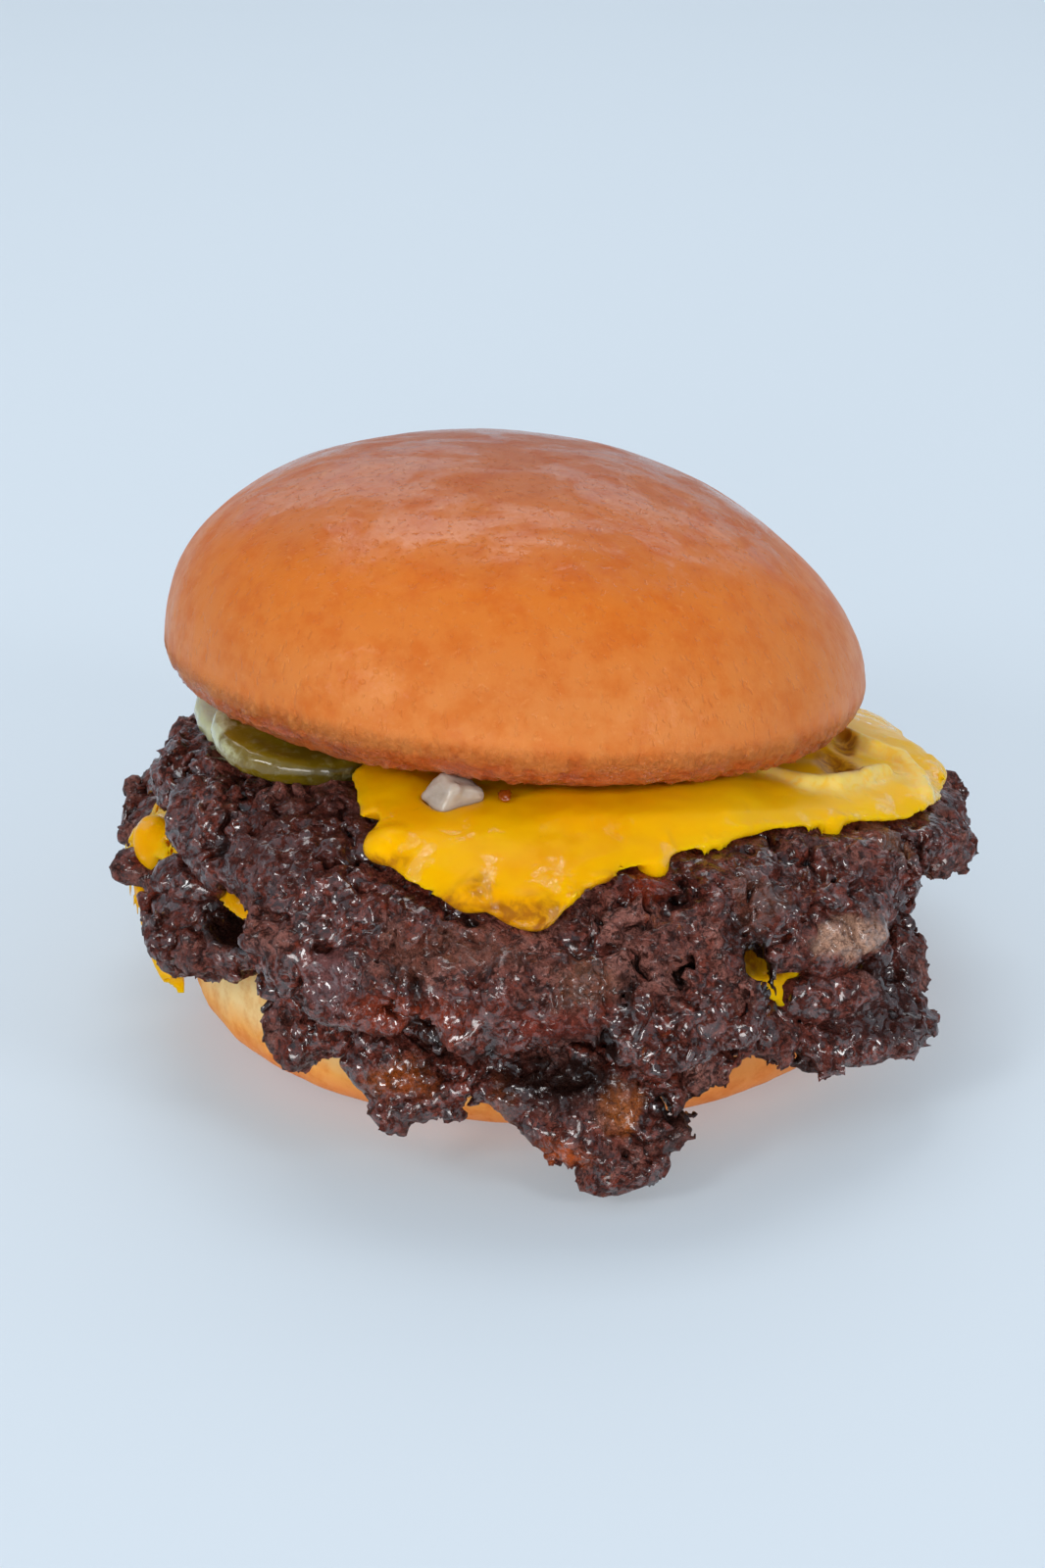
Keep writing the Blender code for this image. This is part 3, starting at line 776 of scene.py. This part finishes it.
# beef: the solid is turned into a volume, torn up with noise and skinned again
beef = {
    "voxel": 0.52,           # mm
    "swell": 0.15,
    "hem": 1.6,              # how much the undersides are worn away
    "ledges": 1.5,
    # height and size in mm, from the broad lumps down to the grit
    "lumps": (7.2, 11),
    "chunks": (2.2, 6),
    "tears": (2.6, 7),
    "wrinkles": (1, 4.2),
    "crumbs": (0.9, 2),
    "grit": (2.4, 1.8),
    "clearOfCheese": 0.05,
    # lumps that stick out and holes torn right in: x, y, z and radii
    "knobs": {
        "patty_upper": [
            (-52, -28.5, 31.4, 3.6, 3.4, 2.8), (-49, -32.6, 31.4, 3.4, 3.4, 2.8),
            (37.5, -46, 28.6, 5.2, 4, 4.2), (42.5, -43.6, 29.6, 4, 3.4, 3.8),
            (10, -53, 41.8, 1.9, 1.8, 1.7),
        ],
        "patty_lower": [
            (8.2, -66.4, 4.6, 4.2, 3, 2.4), (13, -65.6, 5.4, 3, 3, 2.4), (-54.6, 20, 31.6, 3.2, 3.6, 3),
            (-57, 14, 29, 2.6, 3, 2.8), (-60.4, -11, 24.6, 3.4, 3, 2.6), (-57, -12.5, 21.4, 2.6, 2.6, 3.4),
            (-56.4, -13, 15.6, 2.8, 2.6, 3.6), (-54.2, -15, 11.4, 2.8, 2.6, 2.6),
            (35.5, -49.6, 22.8, 5, 3, 3), (40.5, -47.4, 22.8, 5, 3, 3.2),
        ],
    },
    "holes": {
        "patty_upper": [
            (27.8, -57, 31.8, 1.9, 3.6, 3.2), (28, -53.4, 30.2, 1.9, 3.2, 3.2),
            (28.9, -57, 29.8, 1.8, 3.4, 1.9), (29.3, -53.4, 28, 1.2, 3.2, 1.5),
            (29.3, -50.4, 26.8, 1.2, 3, 1.5), (-16, -66.6, 21.6, 2.6, 3.6, 1.9),
            (-2.6, -66, 21.4, 1.5, 4, 2.4), (7.6, -68.6, 24.6, 1.5, 4, 2.9),
            (10.2, -64.4, 30.8, 1.1, 2.6, 2.4), (-17.4, -62, 31.6, 0.8, 2.4, 1.2),
        ],
        "patty_lower": [
            (-43, -38.2, 26.8, 5.2, 7, 2), (1, -64.4, 18.6, 6, 2.2, 2.6), (21.5, -60, 11.6, 3.6, 9, 2.6),
            (27, -58, 11, 4, 9, 2),
        ],
    },
    # where the crust was pressed flat: x, y, z and radii
    "pressed": {
        "patty_upper": [(-32, -40, 42, 17, 14, 12)],
        "patty_lower": [(44, -44, 17, 8, 9, 7)],
    },
    # ragged patches of another colour, one of them painted shade: x, y, z, radii, then the colour and how
    # much of it
    "patches": {
        "patty_upper": [
            ((39.5, -47, 31, 7.6, 6, 3.4), (204, 158, 132), 0.9),
            ((28, -52, 38, 4, 4, 5), (140, 92, 74), 0.4),
            ((47, -28, 36, 5, 5, 4), (146, 96, 66), 0.6),
            ((-28.6, -61, 31, 4, 4, 4.6), (120, 76, 74), 0.8),
            ((-12, -62, 36, 12, 6, 4), (132, 84, 68), 0.45),
            ((-18, -66, 28, 9, 5, 3.4), (146, 54, 24), 0.7),
            ((1, -69, 27, 7, 5, 2.6), (128, 44, 28), 0.55),
            ((5, -66, 33, 5, 5, 4), (150, 104, 80), 0.4),
            ((-30, -42, 44, 14, 12, 6), (66, 28, 22), 0.65),
            ((12, -53.6, 41, 4, 4, 3), (150, 50, 20), 0.7),
        ],
        "patty_lower": [
            ((-20, -61, 16, 4.6, 4, 2.4), (176, 86, 22), 0.65),
            ((-6, -62, 13, 3, 4, 4), (170, 92, 40), 0.5),
            ((9, -64, 14, 3, 4, 4), (190, 104, 40), 0.7),
            ((2, -67, 8, 3.6, 4, 2.4), (190, 84, 26), 0.75),
            ((26, -64, 10, 5, 4, 3.4), (160, 108, 66), 0.6),
            # painted shade: a near-black patch in the gap under the upper patty's hanging edge
            ((1, -63, 17, 10, 5, 5), (36, 16, 14), 0.8),
            ((44, -42, 18, 12, 10, 6), (46, 22, 20), 0.7),
            ((-48, -30, 22, 5, 6, 3), (150, 66, 26), 0.6),
        ],
    },
    "mostFaces": 185000,
    "seared": srgb(66, 22, 14),
    "browned": srgb(130, 64, 52),
    "grey": srgb(160, 106, 94),
    "rust": srgb(124, 44, 22),
    "amber": srgb(166, 88, 36),
    "dark": srgb(38, 14, 10),
    # painted shade for the deep gaps and holes
    "pit": srgb(16, 6, 4),
    "highlight": srgb(255, 232, 226),    # added on the crumbs' tips
    "wet": 1,
}


def creasesNode(tree, where, size, sharpness=5, detail=2):
    # thin raised lines that wind about, from 0 to 1
    wander = mathNode(tree, "ABSOLUTE", unevenNode(tree, where, size, detail, 0.6))
    return minus(tree, 1, times(tree, wander, sharpness), clamp=True)


def beefMaterial(name, nodeName, seed):
    material, tree, shader = newMaterial(name)
    place = objectPlace(tree)
    where = vectorMath(tree, "ADD", place, (seed * 0.31, seed * 0.17, 0))

    def blobs(*shape):
        return noiseNode(tree, where, *shape)

    broad = blobs(14, 4, 0.6, 0.8)
    patch = blobs(5, 5, 0.7, 1.2)
    grain = blobs(1.4, 5, 0.75, 0.8)
    seared = beef["seared"]
    for tint, cloud, *stops in (
        ("browned", patch, (0.34, 0), (0.66, 1)), ("grey", broad, (0.5, 0), (0.68, 0.8)),
        ("rust", blobs(7.5, 4, 0.65, 1), (0.55, 0), (0.68, 0.8)),
        ("amber", blobs(3.4, 5, 0.7, 1.5), (0.62, 0), (0.73, 0.7)),
        ("dark", grain, (0.4, 0.95), (0.55, 0)),
    ):
        seared = mixColour(tree, greyRamp(tree, cloud, *stops), seared, beef[tint])
    ragged = warpNode(tree, warpNode(tree, place, 9, 4), 2, 1.2)
    for ball, colour, strength in beef["patches"][nodeName]:
        spot = fadeNode(tree, ballDistance(tree, ragged, ball), 1 * mm, -1.6 * mm, 0, strength)
        spot = times(tree, spot, greyRamp(tree, grain, (0.3, 0.6), (0.55, 1)))
        seared = mixColour(tree, spot, seared, srgb(*colour))
    dirt = blobs(0.9, 4, 0.7, 0.5)
    seared = mixColour(tree, greyRamp(tree, dirt, (0.4, 0.5), (0.5, 0)), seared, beef["dark"])
    speck = blobs(0.8, 3, 0.7)
    light = mixColour(tree, 1, seared, beef["highlight"], "ADD")
    seared = mixColour(tree, greyRamp(tree, speck, (0.58, 0), (0.72, 0.16)), seared, light)
    # painted shade: deep gaps between the crumbs and the edges of holes are painted nearly black, so high
    # crumbs keep more colour
    pit = storedValue(tree, "pit")
    seared = mixColour(tree, times(tree, pit, 0.9, clamp=True), seared, beef["pit"])
    bump = bumpNode(tree, blobs(0.42, 3, 0.75, 0.6), 1, 0.28)
    bump = bumpNode(tree, creasesNode(tree, warpNode(tree, where, 3, 1), 1.3, 4, 3), 0.7, 0.4, bump)
    bump = bumpNode(tree, grain, 0.8, 0.5, bump)
    wet = blobs(1.8, 3, 0.65, 1)
    wet = greyRamp(tree, wet, (0.44, 0.05), (0.56, beef["wet"]))
    wet = times(tree, wet, greyRamp(tree, broad, (0.44, 1), (0.6, 0.2)))
    setSockets(tree, shader, {
        "Base Color": seared,
        "Roughness": greyRamp(tree, patch, (0.3, 0.3), (0.7, 0.6)),
        "Normal": bump,
        "Specular IOR Level": 0.2,
        "Specular Tint": srgb(255, 180, 160),
        "Coat Weight": wet,
        "Coat Roughness": 0.13,
        "Coat IOR": 1.85,
    })
    return material


def makePatty(nodeName, name, seed, cheeses):
    piece = meshOf(nodeName, name)

    def tear(tree, geometry):
        where = pointPlace(tree)
        rim = fadeNode(tree, reachOf(tree, where), 34 * mm, 42 * mm)
        shifted = vectorMath(tree, "ADD", where, (seed * 0.1, 0, seed * 0.05))
        warped = warpNode(tree, shifted, 6, 1.8)
        lumps = reliefNoise(tree, warped, beef["lumps"], 2, 0.5)
        height, size = beef["chunks"]
        chunks = minus(tree, 0.5, cellsNode(tree, warped, size))
        lumps = plus(tree, lumps, times(tree, chunks, height * mm))
        # crust breaks in flat plates, so the heights gather on ledges
        level = mathNode(tree, "DIVIDE", lumps, beef["ledges"] * mm)
        slope = fadeNode(tree, mathNode(tree, "FRACT", level), 0.3, 0.7)
        lumps = times(tree, plus(tree, mathNode(tree, "FLOOR", level), slope), beef["ledges"] * mm)
        # tears wind along the middle values of a noise, and come and go
        height, size = beef["tears"]
        winding = mathNode(tree, "ABSOLUTE", unevenNode(tree, warped, size, 2, 0.55))
        patchy = fadeNode(tree, noiseNode(tree, shifted, 10, 1), 0.4, 0.58)
        tears = times(tree, times(tree, fadeNode(tree, winding, 0, 0.07, 1, 0), patchy), -height * mm)
        # pressed parts are flatter
        pressed = ballsDistance(tree, where, beef["pressed"][nodeName])
        lumps = times(tree, lumps, fadeNode(tree, pressed, 2 * mm, -4 * mm, 1, 0.45))
        height, size = beef["wrinkles"]
        lumps = plus(tree, lumps, times(tree, creasesNode(tree, warped, size), height * mm))
        fine = warpNode(tree, warped, 2.6, 0.9)
        height, size = beef["crumbs"]
        crumbs = minus(tree, creasesNode(tree, fine, size, 4, 3), 0.5)
        crumbs = times(tree, crumbs, height * mm)
        crumbs = plus(tree, crumbs, reliefNoise(tree, fine, beef["grit"], 3, 0.8))
        torn = plus(tree, plus(tree, lumps, tears), crumbs)
        slices = []
        for other in cheeses:
            melted = addNode(tree, "GeometryNodeObjectInfo", {"Object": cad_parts[other]},
                             transform_space="ORIGINAL")
            slices.append(cheeseDistance(tree, other, melted.outputs["Geometry"], where))
        slices = nearest(tree, slices)
        # close to the cheese the beef stays full, so that the slices lie on it
        calm = times(tree, rim, fadeNode(tree, slices, 0.4 * mm, 4 * mm, 0.3, 1))
        torn = plus(tree, times(tree, torn, calm), beef["swell"] * mm)
        distance, facing = solidDistance(tree, geometry, where, True)
        worn = times(tree, rim, fadeNode(tree, facing, 0, -0.7, 0, beef["hem"] * mm))
        torn = minus(tree, distance, minus(tree, torn, worn))
        torn = mathNode(tree, "MAXIMUM", torn, minus(tree, beef["clearOfCheese"] * mm, slices))
        rough = times(tree, crumbs, 0.8)
        knobs = [(x + seed * 100, y, z + seed * 50, *radii) for x, y, z, *radii in beef["knobs"][nodeName]]
        torn = smoothMin(tree, torn, minus(tree, ballsDistance(tree, warped, knobs), rough), 1)
        holes = plus(tree, ballsDistance(tree, where, beef["holes"][nodeName]), times(tree, rough, 0.7))
        torn = mathNode(tree, "MAXIMUM", torn, times(tree, holes, -1))
        skin = solidFromDistance(tree, torn, nodeName, beef["voxel"])
        # painted shade: how deep each point lies under the solid's surface, and how near a hole, sets how
        # dark it is painted
        depth = fadeNode(tree, distance, -0.2 * mm, -2 * mm)
        depth = mathNode(tree, "MAXIMUM", depth, fadeNode(tree, holes, 1.2 * mm, 0))
        return keepValue(tree, skin, "pit", depth)

    addRelief(piece, tear)
    bake(piece)
    keepLargest(piece)
    thinOut(piece, beef["mostFaces"])
    finishPiece(piece, beefMaterial(name + ".sear", nodeName, seed), [nodeName])


makePatty("patty_lower", "patty.lower", 3, ["cheese_lower"])
makePatty("patty_upper", "patty.upper", 8, ["cheese_lower", "cheese_upper"])


# pickle slices: the rind is the round edge, the two faces are wet flesh with a seedy middle
pickle = {
    "voxel": 0.4,
    "ripple": (0.9, 3.2),    # height and size in mm
    "rounding": 4,           # smoothing passes
    "mostFaces": 24000,
    "rind": (srgb(116, 92, 4), srgb(54, 42, 2)),       # from its left end to its right end
    "flesh": srgb(200, 200, 158),
    "paleFlesh": srgb(208, 206, 178),
    "brined": srgb(138, 114, 14),
    "seeds": srgb(206, 196, 140),
}


def pickleMaterial(name, paleRind):
    material, tree, shader = newMaterial(name)
    where = objectPlace(tree)
    left, right = pickle["rind"]
    mottle = noiseNode(tree, where, 3.4, 4, 0.6)
    wander = plus(tree, axisOf(tree, where, 0), times(tree, minus(tree, mottle, 0.5), 10 * mm))
    skin = mixColour(tree, fadeNode(tree, wander, -45 * mm, -27 * mm), left, right)
    spots = noiseNode(tree, where, 1.6, 3, 0.6)
    skin = mixColour(tree, greyRamp(tree, spots, (0.5, 0), (0.8, 0.25)), skin, pickle["flesh"])
    if paleRind:
        skin = mixColour(tree, greyRamp(tree, mottle, (0.3, 0.75), (0.7, 1)), skin, pickle["flesh"])
    seeds = greyRamp(tree, noiseNode(tree, where, 1.8, 2), (0.55, 0), (0.62, 1))
    seedy = mixColour(tree, seeds, pickle["flesh"], pickle["seeds"])
    outer = fadeNode(tree, storedValue(tree, "across"), 0.45, 0.6)
    flesh = mixColour(tree, outer, seedy, pickle["paleFlesh"])
    if not paleRind:
        flesh = mixColour(tree, 0.4, skin, pickle["brined"])
        cutEnd = fadeNode(tree, wander, -43.6 * mm, -46.6 * mm, 0, 0.9)
        flesh, skin = (mixColour(tree, cutEnd, part, pickle["flesh"]) for part in (flesh, skin))
    wet = bumpNode(tree, noiseNode(tree, where, 1.1, 3, 0.6), 0.35, 0.25)
    wet = bumpNode(tree, noiseNode(tree, where, 4, 2, 0.5), 0.5, 0.6, wet)
    setSockets(tree, shader, {
        "Base Color": mixColour(tree, storedValue(tree, "rind"), flesh, skin),
        "Roughness": 0.22,
        "Normal": wet,
        "Specular IOR Level": 0.3,
        "Subsurface Weight": 0.4,
        "Subsurface Radius": (0.9, 1, 0.25),
        "Subsurface Scale": 1.8 * mm,
        "Coat Weight": 0.8,
        "Coat Roughness": 0.06,
    })
    return material


def makePickle(nodeName, name, material):
    piece = meshOf(nodeName, name)
    points = np.array([v.co for v in piece.data.vertices])
    centre = points.mean(0)
    axis = np.linalg.svd(points - centre, full_matrices=False)[2][2]
    axis *= np.sign(axis[2])

    def brine(tree, geometry):
        where = pointPlace(tree)
        ripple = reliefNoise(tree, where, pickle["ripple"], 3, 0.5)
        body = minus(tree, solidDistance(tree, geometry, where), ripple)
        return solidFromDistance(tree, body, nodeName, pickle["voxel"])

    addRelief(piece, brine)
    smoothOut(piece, pickle["rounding"])
    bake(piece)
    keepLargest(piece)
    # how far each point is from the middle and from the lower face
    away = np.array([v.co for v in piece.data.vertices]) - centre
    height = away @ axis
    across = np.linalg.norm(away - height[:, None] * axis, axis=1)
    across /= across.max()
    # the rind is the outer edge, without the rim of the lower face
    edgeLine = np.clip((height / abs(height).max() + 0.86) / 0.2, 0, 1)
    rind = np.clip((across - 0.86) / 0.06, 0, 1) * edgeLine
    for label, values in (("across", across), ("rind", rind)):
        stored = piece.data.attributes.new(label, "FLOAT", "POINT")
        stored.data.foreach_set("value", values.astype(np.float32))
    thinOut(piece, pickle["mostFaces"])
    finishPiece(piece, material, [nodeName])


makePickle("pickle_front", "pickle.front", pickleMaterial("pickleRind", False))
makePickle("pickle_left", "pickle.left", pickleMaterial("palePickle", True))


# one raw onion dice, and a drop of grease beside it
dice = {
    "voxel": 0.16,           # mm
    "ripple": (0.9, 2.6),    # height and size
    "layers": 2.4,
    "rounding": 5,
    "mostFaces": 12000,
    "white": srgb(204, 190, 176),
    "shade": srgb(162, 144, 122),
}


def onionMaterial():
    material, tree, shader = newMaterial("onion")
    where = objectPlace(tree)
    layers = noiseNode(tree, stretched(tree, where, 0.4, 1, 2.2), dice["layers"], 3, 0.5, 0.4)
    setSockets(tree, shader, {
        "Base Color": mixColour(tree, layers, dice["shade"], dice["white"]),
        "Roughness": 0.22,
        "Normal": bumpNode(tree, layers, 0.4, 0.3),
        "Subsurface Weight": 0.6,
        "Subsurface Radius": (1, 0.85, 0.6),
        "Subsurface Scale": 2 * mm,
        "Coat Weight": 0.5,
        "Coat Roughness": 0.1,
    })
    return material


def makeOnion():
    piece = meshOf("onion", "onion.dice")

    def cut(tree, geometry):
        where = pointPlace(tree)
        ripple = reliefNoise(tree, where, dice["ripple"], 2, 0.5)
        body = minus(tree, solidDistance(tree, geometry, where), ripple)
        return solidFromDistance(tree, body, "onion", dice["voxel"], 1)

    addRelief(piece, cut)
    smoothOut(piece, dice["rounding"])
    bake(piece)
    thinOut(piece, dice["mostFaces"])
    finishPiece(piece, onionMaterial(), ["onion"])


grease = {
    "size": (1, 1, 0.7),             # mm, half of its width, depth and height
    "flatFront": 0.8,                    # how much the front half is pressed in
    "place": (3, 3.4, 4.1),            # mm from the lower front right corner of the onion
    "deep": srgb(112, 40, 8),
    "clear": srgb(176, 86, 14),
}


def greaseMaterial():
    material, tree, shader = newMaterial("grease")
    cloud = noiseNode(tree, objectPlace(tree), 1.2)
    setSockets(tree, shader, {
        "Base Color": mixColour(tree, cloud, grease["deep"], grease["clear"]),
        "Roughness": 0.1,
        "Coat Weight": 0.6,
    })
    return material


def makeDrop():
    # a flattened bead right of the onion
    low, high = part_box("onion")
    wide, deep, tall = grease["size"]
    work = bmesh.new()
    bmesh.ops.create_icosphere(work, subdivisions=4, radius=1.0)
    for v in work.verts:
        wobble = noise.noise(v.co * 1.7) * 0.22
        pressed = max(0, -v.co.y) * grease["flatFront"]
        v.co = Vector((v.co.x * wide, v.co.y * deep - pressed, v.co.z * tall)) * (1 + wobble) * mm
    piece = pieceFrom(work, "grease.drop")
    corner = Vector((high[0], low[1], low[2]))
    piece.data.transform(Matrix.Translation(corner + Vector(grease["place"]) * mm))
    finishPiece(piece, greaseMaterial(), [])


makeOnion()
makeDrop()


# pale table and backdrop, soft studio light
studio = {
    "table": srgb(190, 200, 208),
    "depth": 2.4,            # metres, where the sheet goes up behind
    "rise": 2,
    "bend": 0.5,
    "glow": srgb(232, 240, 246),         # painted light: the table itself glows, as if lit from below, which keeps its shadows light
    "glowStrength": 0.245,
    "sky": srgb(206, 222, 238),
    "skyStrength": 0.61,
    "skyFront": 0.9,         # how much of that is left towards the front
    # soft lights: where they hang, the height they look at, width and height (metres), watts
    "lights": {
        "overhead": ((-0.1, 0.35, 0.95), 0.04, (0.6, 0.4), 2),
        "front left": ((-0.85, -0.95, 0.8), 0.04, (0.36, 0.36), 4.6),
        "behind": ((0.1, 0.9, 0.75), 0.06, (1.7, 0.55), 2.1),
        "low": ((-0.1, -1.2, 0.28), 0.02, (0.9, 0.35), 5.6),
        "front right": ((0.9, -0.8, 0.6), 0.04, (0.3, 0.3), 3.4),
    },
}


def makeStudio():
    bpy.ops.mesh.primitive_plane_add(size=1)
    table = bpy.context.object
    table.name = "table"
    work = bmesh.new()
    depth, rise, bend = studio["depth"], studio["rise"], studio["bend"]
    profile = [(-1.2, 0), (depth - bend, 0)]
    for k in range(1, 9):
        turn = k / 8 * math.pi / 2
        profile.append((depth - bend + bend * math.sin(turn), bend * (1 - math.cos(turn))))
    profile.append((depth, rise))
    rows = [[work.verts.new((x, y, z - 0.0002)) for x in (-2.5, 2.5)] for y, z in profile]
    for a, b in zip(rows, rows[1:]):
        work.faces.new((a[0], a[1], b[1], b[0]))
    work.to_mesh(table.data)
    work.free()
    for face in table.data.polygons:
        face.use_smooth = True
    material, tree, shader = newMaterial("paleTable")
    shade = tuple(0.99 * c for c in studio["table"])
    faint = mixColour(tree, noiseNode(tree, objectPlace(tree), 60, 3), studio["table"], shade)
    setSockets(tree, shader, {
        "Base Color": faint,
        "Roughness": 0.6,
        # painted light: a glow that lifts the table's shadows
        "Emission Color": studio["glow"],
        "Emission Strength": studio["glowStrength"],
    })
    table.data.materials.append(material)

    # the room is darker behind the camera
    world = bpy.data.worlds.new("studio")
    bpy.context.scene.world = world
    world.use_nodes = True
    sky = world.node_tree
    facing = axisOf(sky, addNode(sky, "ShaderNodeTexCoord").outputs["Generated"], 1)
    strength = studio["skyStrength"]
    strength = fadeNode(sky, facing, -0.8, 0.3, strength * studio["skyFront"], strength)
    setSockets(sky, sky.nodes["Background"], {0: studio["sky"], 1: strength})

    for name, (place, aimHeight, size, power) in studio["lights"].items():
        light = bpy.data.lights.new(name, "AREA")
        light.shape = "RECTANGLE"
        light.size, light.size_y = size
        light.energy = power
        lamp = linkPiece(name, light)
        lamp.location = place
        aim = Vector((0, 0, aimHeight)) - Vector(place)
        lamp.rotation_euler = aim.to_track_quat("-Z", "Y").to_euler()


view = {
    "aim": (-3.4, 0, 32.7),  # mm
    "above": 24,             # degrees over the table
    "away": 0.52,            # metres
    "lens": 80.1,
}


def makeCamera():
    camera = linkPiece("camera", bpy.data.cameras.new("camera"))
    above = math.radians(view["above"])
    back = Vector((0, -math.cos(above), math.sin(above)))
    camera.location = Vector(view["aim"]) * mm + back * view["away"]
    camera.rotation_euler = (math.radians(90 - view["above"]), 0, 0)
    camera.data.lens = view["lens"]
    camera.data.clip_start = 0.01
    bpy.context.scene.camera = camera


makeStudio()
makeCamera()
bpy.context.scene.view_settings.view_transform = "Standard"
print("studio ready")
